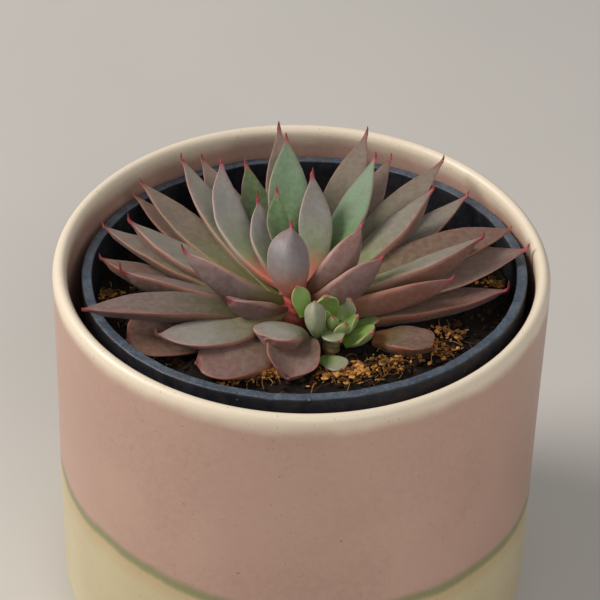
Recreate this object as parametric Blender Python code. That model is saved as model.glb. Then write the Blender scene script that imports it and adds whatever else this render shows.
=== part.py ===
"""Potted succulent: a leaf rosette with one small offset, growing in a thin plastic
nursery pot that stands, slightly tipped, inside a straight glazed cachepot.

Frame: metres, +Z up, origin on the cachepot's axis at the face it stands on.
The front, where the offset grows, faces -Y.
"""
import math

import bmesh
import bpy
from mathutils import Vector

MM = 0.001
GAP = 0.3 * MM                    # clearance between pieces that touch

# Cachepot, a straight cylinder with a rounded lip and a rounded lower edge
POT_RADIUS = 48.0 * MM
POT_HEIGHT = 84.0 * MM
POT_WALL = 2.8 * MM
POT_FLOOR = 6.0 * MM
LIP_HEIGHT = 1.9 * MM             # how far the lip's rounding reaches down
EDGE_RADIUS = 9.0 * MM            # rounding between wall and base
INSIDE_RADIUS = 6.0 * MM          # rounding between wall and floor, inside
POT_STEPS = 56                    # facets round the pot

# Nursery pot, measured in its own frame from its rim
NURSERY_RADIUS = 43.3 * MM        # outside of the collar
NURSERY_FOOT = 31.5 * MM          # outside of the foot
NURSERY_HEIGHT = 72.0 * MM
COLLAR_WIDTH = 2.1 * MM
COLLAR_HEIGHT = 9.0 * MM
NURSERY_WALL = 1.1 * MM
NURSERY_PLACE = Vector((0.4 * MM, 1.4 * MM, 80.7 * MM))     # centre of its rim
TILT_FRONT_UP = math.radians(3.9)
TILT_RIGHT_UP = math.radians(1.4)
NURSERY_STEPS = 48

# Soil, measured down from the nursery pot's rim
SOIL_BELOW_RIM = 7.4 * MM
SOIL_ROUGHNESS = 0.35 * MM
SOIL_STEPS = 32

# Stems
ROSETTE_FOOT = Vector((0.0, -5.0)) * MM
OFFSET_FOOT = Vector((6.0, -14.5)) * MM

# Leaf outline: place along the leaf, width and thickness there, as shares of the largest
LEAF_STATIONS = (
    (0.00, 0.24, 0.32),
    (0.22, 0.38, 0.58),
    (0.44, 0.70, 0.90),
    (0.66, 1.00, 1.00),
    (0.82, 0.92, 0.84),
    (0.93, 0.56, 0.52),
    (1.00, 0.16, 0.20),
)
# Leaf section: across and up, as shares of the half width and of the thickness
LEAF_SECTION = (
    (-1.00, 0.16), (0.00, 0.00), (1.00, 0.16),
    (0.62, -0.42), (0.00, -0.68), (-0.62, -0.42),
)
POINT_REACH = 0.8                 # how far the fine point runs on, in millimetres

# Each leaf: end x, y and height over the cachepot's rim; where it starts, as height,
# distance from the stem's axis and distance to the leaf's left; sag below the straight
# line and sway to its left; lean of its upper face away from the front, in degrees; rise
# of its fine point; width; thickness. All lengths in millimetres.
HEART_LEAVES = (
    (-2.2, -1.6, 8.4, -4.0, -1.4, 0.0, 1.4, 0.8, 80.0, 1.6, 7.5, 2.7),
    (-8.8, 10.8, 5.4, -3.0, 2.4, 0.0, 1.4, 0.4, 24.0, 2.6, 6.4, 2.0),
    (-5.2, 10.4, 8.0, 0.6, 3.0, 0.0, 0.4, 1.0, 22.0, 1.2, 4.0, 1.4),
    (1.5, 14.4, 9.4, -2.3, 2.4, 0.0, 1.2, -0.6, 22.0, 1.7, 6.1, 2.0),
    (10.9, -1.0, 8.5, -2.8, 2.8, 0.0, 0.8, -1.6, 66.0, 1.4, 6.6, 2.4),
    (14.9, -6.0, 5.0, -5.0, 1.4, -2.3, 1.2, -0.6, 62.0, 1.4, 6.8, 2.4),
    (-22.2, -5.6, 5.2, -3.8, 2.8, 0.0, 1.8, 0.6, 60.0, 1.8, 7.2, 2.2),
    (-13.6, -13.8, 0.3, -4.4, 2.8, 0.0, 0.4, 0.0, 50.0, 1.0, 7.0, 2.4),
)
MIDDLE_LEAVES = (
    (-3.8, 23.5, 11.8, -4.5, 3.0, 0.0, 1.6, 0.0, 22.0, 1.2, 7.5, 2.1),
    (-11.7, 24.7, 4.4, -5.4, 3.0, 0.0, 1.8, 0.0, 4.0, 1.2, 6.8, 1.9),
    (-16.4, 20.6, 7.4, -3.7, 3.0, 0.0, 2.8, 2.4, 22.0, 1.6, 6.6, 2.1),
    (-24.4, 26.4, 3.8, -6.2, 3.2, 0.0, 1.6, 0.5, 22.0, 1.8, 6.8, 2.1),
    (-33.5, 8.5, 1.5, -5.6, 3.4, 0.0, 2.0, 0.0, 16.0, 1.8, 5.8, 2.2),
    (-34.2, -2.8, -2.0, -6.6, 3.4, 0.0, 0.8, 0.0, 18.0, 2.2, 7.4, 2.9),
    (-26.2, -21.0, -3.0, -5.8, 3.4, 0.0, 0.2, 3.0, 4.0, 1.8, 7.5, 2.7),
    (28.3, -4.0, -1.2, -5.6, 3.2, 0.0, 0.8, 0.0, 0.0, 1.6, 7.0, 2.4),
    (34.2, 3.0, 4.0, -4.6, 3.4, 0.0, 1.2, 0.0, 0.0, 2.0, 7.0, 2.2),
    (25.0, 16.0, 5.8, -5.4, 3.2, 0.0, 1.8, 0.0, 22.0, 1.6, 7.2, 3.1),
    (13.6, 21.0, 9.3, -4.0, 3.2, 0.0, 2.0, -0.2, 22.0, 1.6, 6.6, 2.2),
)
OUTER_LEAVES = (
    (-5.4, 32.8, 8.0, -8.4, 3.4, 0.0, 1.8, 0.0, 10.0, 1.5, 6.1, 1.7),
    (-20.7, 32.4, 0.2, -7.6, 3.4, 0.0, 1.2, 0.0, 2.0, 1.2, 7.1, 2.0),
    (-32.2, 21.6, 1.4, -7.0, 3.5, 0.0, 1.2, 0.0, 2.0, 1.2, 7.3, 2.2),
    (-33.5, 22.6, -2.6, -8.6, 3.5, 0.0, 1.2, 0.0, 12.0, 1.2, 6.9, 1.9),
    (-38.6, 9.6, -0.8, -7.8, 3.5, 0.0, 0.9, 0.0, 2.0, 1.2, 7.3, 2.2),
    (-38.8, 3.6, -4.0, -8.9, 3.6, 0.0, 1.1, 0.0, 11.0, 1.2, 8.7, 2.3),
    (-40.5, -18.0, 0.2, -7.6, 3.6, 0.0, -1.4, 0.0, 6.0, 0.5, 7.5, 2.7),
    (-32.6, -18.4, -6.4, -8.8, 3.6, 0.0, 0.2, 0.0, -12.0, 0.3, 9.6, 2.5),
    (-19.2, -25.2, -6.0, -8.2, 3.6, 0.0, 0.0, 4.2, -6.0, 0.3, 6.8, 2.6),
    (-1.8, -27.4, -7.2, -8.9, 3.6, 0.0, -0.8, 0.0, -16.0, 0.3, 7.5, 2.5),
    (12.2, 33.0, 7.0, -6.2, 3.4, 0.0, 1.2, 0.0, 10.0, 1.8, 7.3, 2.0),
    (17.3, 34.0, 0.6, -8.8, 3.4, 0.0, 1.2, 0.0, 10.0, 1.2, 6.7, 1.9),
    (27.5, 30.0, 3.0, -7.0, 3.4, 0.0, 1.2, 0.0, 12.0, 1.5, 7.8, 2.2),
    (32.3, 22.0, 0.2, -8.2, 3.4, 0.0, 1.2, 0.0, 12.0, 1.2, 7.5, 2.2),
    (40.1, 9.0, 1.8, -6.5, 3.6, 0.0, 1.2, 0.0, 0.0, 1.0, 6.0, 1.7),
    (43.4, 5.6, -0.4, -7.4, 3.6, 0.0, 1.2, 0.0, 0.0, 2.0, 7.2, 2.0),
    (39.2, -2.2, -4.6, -8.8, 3.6, 0.0, 0.8, 0.0, 8.0, 2.4, 7.5, 2.6),
    (24.9, -17.8, -6.6, -8.0, 16.5, -1.1, 0.0, 0.4, 6.0, 0.3, 7.1, 2.4),
)
OFFSET_LEAVES = (
    (-0.8, -9.7, 0.6, -4.6, 5.3, 1.4, 0.3, -0.3, -30.0, 0.3, 4.0, 1.2),
    (2.5, -14.6, 0.9, -5.6, 2.4, 1.2, 0.9, 0.5, 82.0, 0.3, 4.6, 1.6),
    (4.7, -12.3, 0.4, -6.4, 1.6, 0.0, 0.8, 0.0, -40.0, 0.3, 4.2, 1.2),
    (10.1, -7.4, -3.8, -7.4, 1.8, 0.0, 0.4, 0.0, 0.0, 0.4, 4.0, 1.4),
    (10.7, -13.0, -3.4, -6.4, 1.7, 0.0, 0.3, 0.5, 6.0, 0.4, 4.2, 1.1),
    (8.4, -17.1, -2.0, -5.6, 1.0, -1.1, 0.3, 0.2, 14.0, 0.3, 3.1, 1.0),
    (3.8, -15.1, -0.6, -4.8, 1.3, 1.0, 0.3, 0.2, -35.0, 0.3, 2.4, 0.9),
    (6.1, -16.4, -1.2, -4.6, 0.9, 0.0, 0.2, 0.0, 45.0, 0.3, 2.0, 0.8),
    (7.7, -19.7, -4.0, -7.0, 1.8, 0.0, -0.3, -0.3, -6.0, 0.3, 3.9, 1.4),
    (13.6, -16.5, -4.4, -7.4, 2.6, -1.2, 0.3, 0.6, 4.0, 0.3, 5.0, 1.4),
    (8.4, -24.1, -7.2, -7.8, 5.4, -3.3, 0.0, 0.3, -4.0, 0.3, 3.9, 1.2),
    (14.8, -10.7, -6.0, -7.8, 4.6, 1.7, 0.1, 0.2, 0.0, 0.3, 2.8, 0.9),
    (-6.3, -21.3, -2.8, -5.8, 5.2, -1.9, -0.2, -0.6, 12.0, 0.3, 8.3, 3.5),
)


def clear_scene():
    for item in list(bpy.data.objects):
        bpy.data.objects.remove(item, do_unlink=True)


def make_material(name, colour, roughness):
    material = bpy.data.materials.new(name)
    material.use_nodes = True
    shader = material.node_tree.nodes["Principled BSDF"]
    shader.inputs["Base Color"].default_value = (*colour, 1.0)
    shader.inputs["Roughness"].default_value = roughness
    shader.inputs["Metallic"].default_value = 0.0
    return material


def make_object(name, vertices, faces, material):
    mesh = bpy.data.meshes.new(name)
    mesh.from_pydata([tuple(v) for v in vertices], [], faces)
    mesh.materials.append(material)
    thing = bpy.data.objects.new(name, mesh)
    bpy.context.scene.collection.objects.link(thing)
    return thing


def arc(centre, radius_out, radius_up, start, stop, steps):
    """Points on an ellipse arc in the XZ plane; angles in degrees from +X."""
    points = []
    for i in range(steps + 1):
        angle = math.radians(start + (stop - start) * i / steps)
        x = centre[0] + radius_out * math.cos(angle)
        z = centre[1] + radius_up * math.sin(angle)
        points.append((x, z))
    return points


def turn(name, profile, steps, material):
    """Body turned about Z; the profile starts and ends on the axis and runs up the
    inside and down the outside."""
    vertices = [(x, 0.0, z) for x, z in profile]
    thing = make_object(name, vertices, [], material)
    edge_mesh = bmesh.new()
    edge_mesh.from_mesh(thing.data)
    edge_mesh.verts.ensure_lookup_table()
    for i in range(len(profile) - 1):
        edge_mesh.edges.new((edge_mesh.verts[i], edge_mesh.verts[i + 1]))
    edge_mesh.to_mesh(thing.data)
    edge_mesh.free()
    screw = thing.modifiers.new("turned", "SCREW")
    screw.axis = "Z"
    screw.steps = steps
    screw.render_steps = steps
    screw.use_merge_vertices = True
    screw.merge_threshold = 0.00001
    screw.use_smooth_shade = True
    return thing


def place_in_pot(thing):
    """Puts a piece whose frame is the nursery pot's rim in its tipped place."""
    thing.location = NURSERY_PLACE
    thing.rotation_euler = (-TILT_FRONT_UP, -TILT_RIGHT_UP, 0.0)


def make_cachepot():
    inner = POT_RADIUS - POT_WALL
    lip_centre = (POT_RADIUS - POT_WALL / 2, POT_HEIGHT - LIP_HEIGHT)
    foot_centre = (POT_RADIUS - EDGE_RADIUS, EDGE_RADIUS)
    floor_centre = (inner - INSIDE_RADIUS, POT_FLOOR + INSIDE_RADIUS)
    profile = [(0.0, POT_FLOOR)]
    profile += arc(floor_centre, INSIDE_RADIUS, INSIDE_RADIUS, -90, 0, 3)
    profile += arc(lip_centre, POT_WALL / 2, LIP_HEIGHT, 180, 0, 6)
    profile += arc(foot_centre, EDGE_RADIUS, EDGE_RADIUS, 0, -90, 5)
    profile += [(0.0, 0.0)]
    glaze = make_material("glazed_stoneware", (0.42, 0.27, 0.22), 0.42)
    return turn("cachepot", profile, POT_STEPS, glaze)


def make_nursery_pot():
    """Thin tapered pot with a stiff collar; its frame's origin is its rim's centre."""
    floor = -NURSERY_HEIGHT
    collar_in = NURSERY_RADIUS - COLLAR_WIDTH
    wall_top = NURSERY_RADIUS - COLLAR_WIDTH + NURSERY_WALL
    profile = [
        (0.0, floor + NURSERY_WALL),
        (NURSERY_FOOT - NURSERY_WALL, floor + NURSERY_WALL),
        (collar_in, -COLLAR_HEIGHT),
        (collar_in, -0.2 * MM),
        (collar_in + 0.2 * MM, 0.0),
        (NURSERY_RADIUS - 0.3 * MM, 0.0),
        (NURSERY_RADIUS, -0.3 * MM),
        (NURSERY_RADIUS - 0.2 * MM, -COLLAR_HEIGHT),
        (wall_top, -COLLAR_HEIGHT),
        (NURSERY_FOOT, floor),
        (0.0, floor),
    ]
    plastic = make_material("dark_plastic", (0.035, 0.042, 0.05), 0.55)
    thing = turn("nursery_pot", profile, NURSERY_STEPS, plastic)
    place_in_pot(thing)
    return thing


def soil_height(x, y):
    waves = math.sin(x / (3.1 * MM)) * math.cos(y / (2.7 * MM)) + math.sin((x + y) / (5.3 * MM))
    return -SOIL_BELOW_RIM + SOIL_ROUGHNESS * 0.5 * waves


def make_soil():
    """Soil block that fills the nursery pot, with a slightly uneven top."""
    collar_in = NURSERY_RADIUS - COLLAR_WIDTH
    bottom = -NURSERY_HEIGHT + NURSERY_WALL + GAP
    rings = [
        (NURSERY_FOOT - NURSERY_WALL - GAP, bottom),
        (collar_in - GAP * 1.2, -COLLAR_HEIGHT),
    ]
    top_rings = (1.0, 0.86, 0.68, 0.48, 0.26)
    vertices = [(0.0, 0.0, bottom)]
    for radius, height in rings:
        for i in range(SOIL_STEPS):
            angle = 2 * math.pi * i / SOIL_STEPS
            vertices.append((radius * math.cos(angle), radius * math.sin(angle), height))
    for share in top_rings:
        for i in range(SOIL_STEPS):
            angle = 2 * math.pi * i / SOIL_STEPS
            x = (collar_in - GAP * 1.2) * share * math.cos(angle)
            y = (collar_in - GAP * 1.2) * share * math.sin(angle)
            vertices.append((x, y, soil_height(x, y)))
    vertices.append((0.0, 0.0, soil_height(0.0, 0.0)))
    faces = []
    ring_count = len(rings) + len(top_rings)
    for i in range(SOIL_STEPS):
        k = (i + 1) % SOIL_STEPS
        faces.append((0, 1 + k, 1 + i))
        for ring in range(ring_count - 1):
            low = 1 + ring * SOIL_STEPS
            high = low + SOIL_STEPS
            faces.append((low + i, low + k, high + k, high + i))
        last = 1 + (ring_count - 1) * SOIL_STEPS
        faces.append((last + i, last + k, len(vertices) - 1))
    peat = make_material("peat_soil", (0.035, 0.022, 0.014), 0.95)
    thing = make_object("soil", vertices, faces, peat)
    place_in_pot(thing)
    return thing


def make_stem(name, foot, bottom, top, wide, narrow, colour):
    """Short round stem standing on the soil."""
    stations = (
        (bottom, wide), (bottom + (top - bottom) * 0.7, (wide + narrow) / 2), (top, narrow),
    )
    steps = 12
    vertices = []
    for height, radius in stations:
        for i in range(steps):
            angle = 2 * math.pi * i / steps
            vertices.append((foot.x + radius * math.cos(angle), foot.y + radius * math.sin(angle), height))
    faces = [tuple(reversed(range(steps)))]
    for ring in range(len(stations) - 1):
        for i in range(steps):
            k = (i + 1) % steps
            low = ring * steps
            faces.append((low + i, low + k, low + steps + k, low + steps + i))
    faces.append(tuple(range(steps * (len(stations) - 1), steps * len(stations))))
    thing = make_object(name, vertices, faces, make_material(name + "_skin", colour, 0.6))
    thing.data.shade_smooth()
    thing.data.set_sharp_from_angle(angle=math.radians(50))
    return thing


def make_leaf(name, foot, row, material):
    """Thick leaf along a curved line from the stem to its end: hollow above, keeled
    below, widest past the middle, with a fine point that turns up."""
    end_x, end_y, end_z, start_z, start_out, start_aside, sag, sway, lean, rise, width, thick = row
    end = Vector((end_x * MM, end_y * MM, POT_HEIGHT + end_z * MM))
    outward = Vector((end.x - foot.x, end.y - foot.y, 0.0)).normalized()
    across = Vector((-outward.y, outward.x, 0.0))
    start = Vector((foot.x, foot.y, POT_HEIGHT + start_z * MM))
    start += (outward * start_out + across * start_aside) * MM
    upright = Vector((0.0, math.sin(math.radians(lean)), math.cos(math.radians(lean))))
    straight = (end - start).normalized()
    above = straight.cross(upright.cross(straight)).normalized()
    control = (start + end) / 2 + (across * sway - above * sag) * 2 * MM
    vertices = []
    for share, wide, deep in LEAF_STATIONS:
        back = 1 - share
        point = start * back * back + control * 2 * back * share + end * share * share
        along = ((control - start) * back + (end - control) * share).normalized()
        side = upright.cross(along).normalized()
        up = along.cross(side)
        for right, lift in LEAF_SECTION:
            out = side * right * wide * width / 2 + up * lift * deep * thick
            vertices.append(point + out * MM)
    vertices.append(end + (outward * POINT_REACH + Vector((0.0, 0.0, rise))) * MM)
    count = len(LEAF_SECTION)
    faces = [tuple(range(count))]
    for ring in range(len(LEAF_STATIONS) - 1):
        low = ring * count
        for i in range(count):
            k = (i + 1) % count
            faces.append((low + k, low + i, low + count + i, low + count + k))
    last = (len(LEAF_STATIONS) - 1) * count
    for i in range(count):
        faces.append((last + (i + 1) % count, last + i, len(vertices) - 1))
    thing = make_object(name, vertices, faces, material)
    thing.data.shade_smooth()
    return thing


def make_leaves():
    kinds = (
        ("heart_leaf", ROSETTE_FOOT, HEART_LEAVES, (0.27, 0.28, 0.24)),
        ("middle_leaf", ROSETTE_FOOT, MIDDLE_LEAVES, (0.24, 0.24, 0.19)),
        ("outer_leaf", ROSETTE_FOOT, OUTER_LEAVES, (0.22, 0.16, 0.13)),
        ("offset_leaf", OFFSET_FOOT, OFFSET_LEAVES, (0.25, 0.36, 0.20)),
    )
    for kind, foot, rows, colour in kinds:
        for number, row in enumerate(rows, start=1):
            name = f"{kind}_{number:02d}"
            make_leaf(name, foot, row, make_material(name + "_skin", colour, 0.5))


clear_scene()
make_cachepot()
make_nursery_pot()
make_soil()
make_stem("rosette_stem", ROSETTE_FOOT, POT_HEIGHT - 9.5 * MM, POT_HEIGHT - 5.2 * MM,
          2.8 * MM, 1.8 * MM, (0.35, 0.16, 0.12))
make_stem("offset_stem", OFFSET_FOOT, POT_HEIGHT - 9.0 * MM, POT_HEIGHT - 5.4 * MM,
          1.3 * MM, 0.6 * MM, (0.20, 0.22, 0.10))
make_leaves()
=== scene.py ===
# %% [markdown]
# # A succulent rosette in a glazed cachepot
# A small rosette plant grows in a thin plastic nursery pot, and the nursery pot stands a
# little crooked inside a straight stoneware cachepot. The solid model already says how
# large everything is and where it stands. This script gives every piece its real surface:
# full leaves in place of the plain solids, soil with crumbs and fibres, a glaze that
# breaks to cream at the lip. All lengths below are in millimetres until `MM` turns them
# into metres, because a plant of this size is thought of in millimetres.

import math
import random
from collections import namedtuple

import bmesh
import bpy
from mathutils import Matrix, Vector, noise


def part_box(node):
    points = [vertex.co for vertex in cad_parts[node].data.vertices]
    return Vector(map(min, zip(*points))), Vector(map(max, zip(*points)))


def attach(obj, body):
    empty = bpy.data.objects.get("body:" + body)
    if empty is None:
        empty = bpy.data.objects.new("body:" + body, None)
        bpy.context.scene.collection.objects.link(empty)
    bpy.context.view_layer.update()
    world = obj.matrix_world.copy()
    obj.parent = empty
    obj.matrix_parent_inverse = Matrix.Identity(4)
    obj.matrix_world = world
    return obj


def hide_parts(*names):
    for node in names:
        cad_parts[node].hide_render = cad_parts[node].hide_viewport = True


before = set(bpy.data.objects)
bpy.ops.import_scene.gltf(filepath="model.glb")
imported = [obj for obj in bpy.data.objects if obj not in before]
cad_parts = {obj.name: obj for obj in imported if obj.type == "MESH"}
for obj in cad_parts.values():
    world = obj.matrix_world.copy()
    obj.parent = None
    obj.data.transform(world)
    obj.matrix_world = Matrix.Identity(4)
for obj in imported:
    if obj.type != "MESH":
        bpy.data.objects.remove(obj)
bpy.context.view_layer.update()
MM = 0.001

# %% [markdown]
# ## Camera
# The plant is seen from the front and well above, from about half a metre. A long lens
# from there keeps the pot's sides nearly parallel. The camera is aimed at a point a
# little below the middle of the pot's mouth, and it is rolled by a degree and a half, as
# a camera held by hand is.

# %% The camera looks down into the pot
def add_object(name, data):
    thing = bpy.data.objects.new(name, data)
    bpy.context.scene.collection.objects.link(thing)
    return thing


MOUTH = Vector((0.0, 0.0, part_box("cachepot")[1].z))   # middle of the cachepot's mouth
CAMERA_FAR = 480 * MM
CAMERA_UP = math.radians(36.6)        # how far above the horizon it stands
CAMERA_NOD = math.radians(0.945)      # how far it aims below the mouth's middle
CAMERA_TURN = math.radians(0.021)
CAMERA_ROLL = math.radians(1.63)
LENS = 149.2

camera = add_object("camera", bpy.data.cameras.new("camera"))
camera.data.lens = LENS
camera.data.clip_start = 0.01
camera.data.clip_end = 20.0
toward = Vector((0.0, -math.cos(CAMERA_UP), math.sin(CAMERA_UP)))
aim = Matrix.Rotation(math.pi / 2 - CAMERA_UP, 4, "X")
aim = aim @ Matrix.Rotation(-CAMERA_NOD, 4, "X") @ Matrix.Rotation(CAMERA_TURN, 4, "Y")
aim = aim @ Matrix.Rotation(CAMERA_ROLL, 4, "Z")
camera.matrix_world = Matrix.Translation(MOUTH + toward * CAMERA_FAR) @ aim
bpy.context.scene.camera = camera
print("camera at", [round(v, 3) for v in camera.matrix_world.translation])

# %% [markdown]
# ## Light and floor
# A plant like this is best seen in soft light: one broad warm lamp high on the left
# makes the lip and the leaf edges glow, and a weaker one from the front keeps the
# undersides readable. The world adds an even glow. The floor is a plain pale sheet, so
# that nothing near the pot competes with it.


# %% Lamps, world and floor
def area_lamp(name, place, target, width, power, colour):
    lamp = bpy.data.lights.new(name, "AREA")
    lamp.shape = "DISK"
    lamp.size = width
    lamp.energy = power
    lamp.color = colour
    holder = add_object(name, lamp)
    holder.location = place
    holder.rotation_euler = (target - Vector(place)).to_track_quat("-Z", "Y").to_euler()


area_lamp("window_light", (-0.80, 0.06, 0.78), MOUTH, 0.50, 9.2, (1.0, 0.95, 0.89))
area_lamp("front_fill", (0.30, -0.75, 0.70), MOUTH, 0.60, 2.7, (1.0, 0.97, 0.94))
world = bpy.data.worlds.new("studio")
world.use_nodes = True
world.node_tree.nodes["Background"].inputs["Color"].default_value = (0.88, 0.87, 0.86, 1.0)
world.node_tree.nodes["Background"].inputs["Strength"].default_value = 0.29
bpy.context.scene.world = world
bpy.context.scene.view_settings.view_transform = "Standard"

floor_mesh = bpy.data.meshes.new("pale_floor")
FLOOR_HALF = 1.6
floor_mesh.from_pydata(
    [(-FLOOR_HALF, -FLOOR_HALF, 0), (FLOOR_HALF, -FLOOR_HALF, 0),
     (FLOOR_HALF, FLOOR_HALF, 0), (-FLOOR_HALF, FLOOR_HALF, 0)], [], [(0, 1, 2, 3)])
floor = add_object("pale_floor", floor_mesh)

# %% [markdown]
# ## Writing materials
# Every finish below is a small network of nodes. These helpers keep the networks short:
# `put` adds one node to the network being written and fills its inputs, with either a
# value or another node's output, and the others name the few steps that come back again
# and again. A position is the object coordinate turned into millimetres, so that a scale
# of 1 means one cell of noise for each millimetre of the real thing.

# %% Helpers for node networks
being_written = []                    # holds the one network that nodes are added to


def join(output, socket):
    being_written[0].links.new(output, socket)


def put(kind, inputs=None, **settings):
    """Adds a node; inputs maps a socket's name or number to a value or to an output."""
    made = being_written[0].nodes.new(kind)
    for name, value in settings.items():
        setattr(made, name, value)
    for name, value in (inputs or {}).items():
        if isinstance(value, bpy.types.NodeSocket):
            join(value, made.inputs[name])
        else:
            made.inputs[name].default_value = value
    return made


def maths(operation, a, b=0.0):
    return put("ShaderNodeMath", {0: a, 1: b}, operation=operation).outputs[0]


def times(a, b):
    return maths("MULTIPLY", a, b)


def plus(a, b):
    return maths("ADD", a, b)


def minus(a, b):
    return maths("SUBTRACT", a, b)


def rise(value, low, high, first=0.0, last=1.0):
    """Smooth step: first up to low, last from high on."""
    made = put("ShaderNodeMapRange",
               {"Value": value, "From Min": low, "From Max": high, "To Min": first, "To Max": last},
               interpolation_type="SMOOTHSTEP")
    return made.outputs["Result"]


def blend(share, a, b):
    """Mixes two colours."""
    return put("ShaderNodeMix", {0: share, 6: a, 7: b}, data_type="RGBA").outputs[2]


def stain(mask, strength, colour, mark):
    """Lays the colour of a mark over another, where the mask is."""
    return blend(times(mask, strength), colour, mark)


def noise_value(place, scale, detail=3.0, roughness=0.55, distortion=0.0):
    made = put("ShaderNodeTexNoise",
               {"Vector": place, "Scale": scale, "Detail": detail, "Roughness": roughness,
                "Distortion": distortion})
    return made.outputs["Fac"]


def position_mm():
    where = put("ShaderNodeTexCoord").outputs["Object"]
    made = put("ShaderNodeVectorMath", {0: where, 3: 1 / MM}, operation="SCALE")
    return made.outputs[0]


def rgb(red, green, blue):
    """A colour given as screen values from 0 to 255, as linear light."""
    def linear(v):
        v /= 255
        return v / 12.92 if v <= 0.04045 else ((v + 0.055) / 1.055) ** 2.4
    return (linear(red), linear(green), linear(blue), 1.0)


def new_group(name, inputs, outputs):
    """Node group with inputs and outputs given as (name, socket type, default)."""
    group = bpy.data.node_groups.new(name, "ShaderNodeTree")
    for title, kind, default in inputs:
        socket = group.interface.new_socket(title, in_out="INPUT", socket_type="NodeSocket" + kind)
        if default is not None:
            socket.default_value = default
    for title, kind in outputs:
        group.interface.new_socket(title, in_out="OUTPUT", socket_type="NodeSocket" + kind)
    being_written[:] = [group]
    return group, put("NodeGroupInput").outputs, put("NodeGroupOutput").inputs


def use(group, inputs):
    """Places a node group in a material."""
    return put("ShaderNodeGroup", inputs, node_tree=group).outputs


def new_material(name, **shader_values):
    """Material with a Principled shader whose plain values are set on its sockets."""
    material = bpy.data.materials.new(name)
    material.use_nodes = True
    being_written[:] = [material.node_tree]
    shader = material.node_tree.nodes["Principled BSDF"].inputs
    for title, value in shader_values.items():
        shader[title.replace("_", " ")].default_value = value
    return material, shader


print("node helpers ready")

# %% [markdown]
# ### Effects that several finishes share
# Three effects come back on almost every surface here. *Clouds* are soft, large patches,
# as pigment, glaze thickness and bloom all have. *Specks* are small scattered dots, for
# iron spots in the glaze, dust on the plastic and flecks on the leaves. *Fine grain* is
# the small relief of a surface, and puts out a height for a Bump node. Each is one node
# group with its own scale and strength, built once.

# %% Clouds, specks and fine grain as node groups
clouds, cloud_in, cloud_out = new_group(
    "clouds",
    [("Position", "Vector", None), ("Size", "Float", 8.0), ("Edge", "Float", 0.12),
     ("Amount", "Float", 0.5)],
    [("Mask", "Float")])
inverse = maths("DIVIDE", 1.0, cloud_in["Size"])
small = put("ShaderNodeVectorMath", {0: cloud_in["Position"], 3: inverse}, operation="SCALE")
patch = noise_value(small.outputs[0], 1.0, 3.0, 0.5, 0.3)
patch = rise(patch, minus(0.5, cloud_in["Edge"]), plus(0.5, cloud_in["Edge"]))
join(times(patch, cloud_in["Amount"]), cloud_out["Mask"])

specks, speck_in, speck_out = new_group(
    "specks",
    [("Position", "Vector", None), ("Spacing", "Float", 1.0), ("Size", "Float", 0.12),
     ("Share", "Float", 0.5)],
    [("Mask", "Float")])
inverse = maths("DIVIDE", 1.0, speck_in["Spacing"])
small = put("ShaderNodeVectorMath", {0: speck_in["Position"], 3: inverse}, operation="SCALE")
cells = put("ShaderNodeTexVoronoi", {"Vector": small.outputs[0], "Scale": 1.0})
own_size = put("ShaderNodeSeparateColor", {0: cells.outputs["Color"]})
present = maths("LESS_THAN", own_size.outputs[0], speck_in["Share"])
radius = times(plus(own_size.outputs[1], 0.25), speck_in["Size"])
near = minus(radius, cells.outputs["Distance"])
dot = rise(near, 0.0, 0.05)
join(times(dot, present), speck_out["Mask"])

fine_grain, grain_in, grain_out = new_group(
    "fine_grain",
    [("Position", "Vector", None), ("Grain", "Float", 4.0), ("Undulation", "Float", 0.3),
     ("Undulation share", "Float", 0.5)],
    [("Height", "Float")])
grain = noise_value(grain_in["Position"], grain_in["Grain"], 4.0, 0.6)
wave = noise_value(grain_in["Position"], grain_in["Undulation"], 1.0, 0.4)
height = put("ShaderNodeMix", {0: grain_in["Undulation share"], 2: grain, 3: wave})
join(height.outputs[0], grain_out["Height"])


def cloud_mask(where, size, edge, amount=1.0):
    values = {"Position": where, "Size": size, "Edge": edge, "Amount": amount}
    return use(clouds, values)["Mask"]


def speck_mask(where, spacing, size, share):
    values = {"Position": where, "Spacing": spacing, "Size": size, "Share": share}
    return use(specks, values)["Mask"]


def grain_height(where, grain, undulation, share=0.5):
    values = {"Position": where, "Grain": grain, "Undulation": undulation, "Undulation share": share}
    return use(fine_grain, values)["Height"]


def add_relief(shader, height, strength, depth):
    """Turns a height into a small relief of the surface."""
    bump = put("ShaderNodeBump", {"Height": height, "Strength": strength, "Distance": depth})
    join(bump.outputs[0], shader["Normal"])


print("groups:", [g.name for g in bpy.data.node_groups])

# %% [markdown]
# ### The floor's finish
# The floor is a pale matt board. Even a plain board isn't one colour: faint clouds and a
# very fine tooth keep it from looking like empty space.

# %% Floor finish
material, shader = new_material("pale_board", Specular_IOR_Level=0.2)
where = position_mm()
patches = cloud_mask(where, 120.0, 0.3)
join(blend(patches, rgb(203, 200, 196), rgb(209, 206, 202)), shader["Base Color"])
tooth = grain_height(where, 1.2, 0.02)
add_relief(shader, tooth, 0.15, 0.2 * MM)
join(rise(tooth, 0.3, 0.7, 0.75, 0.9), shader["Roughness"])
floor.data.materials.append(material)

# %% [markdown]
# ## Turned pieces
# Both pots are turned bodies: a profile carried once round the axis. The solid model has
# them in few facets; here the profile is spun in many steps and moved by a fraction of a
# millimetre of slow waviness, because a thrown pot is never quite round, and its lip
# catches the light unevenly.

# %% Spinning a profile
def smooth_object(name, vertices, faces):
    """Object with a new smooth-shaded mesh."""
    mesh = bpy.data.meshes.new(name)
    mesh.from_pydata(vertices, [], faces)
    mesh.shade_smooth()
    return add_object(name, mesh)


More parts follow.
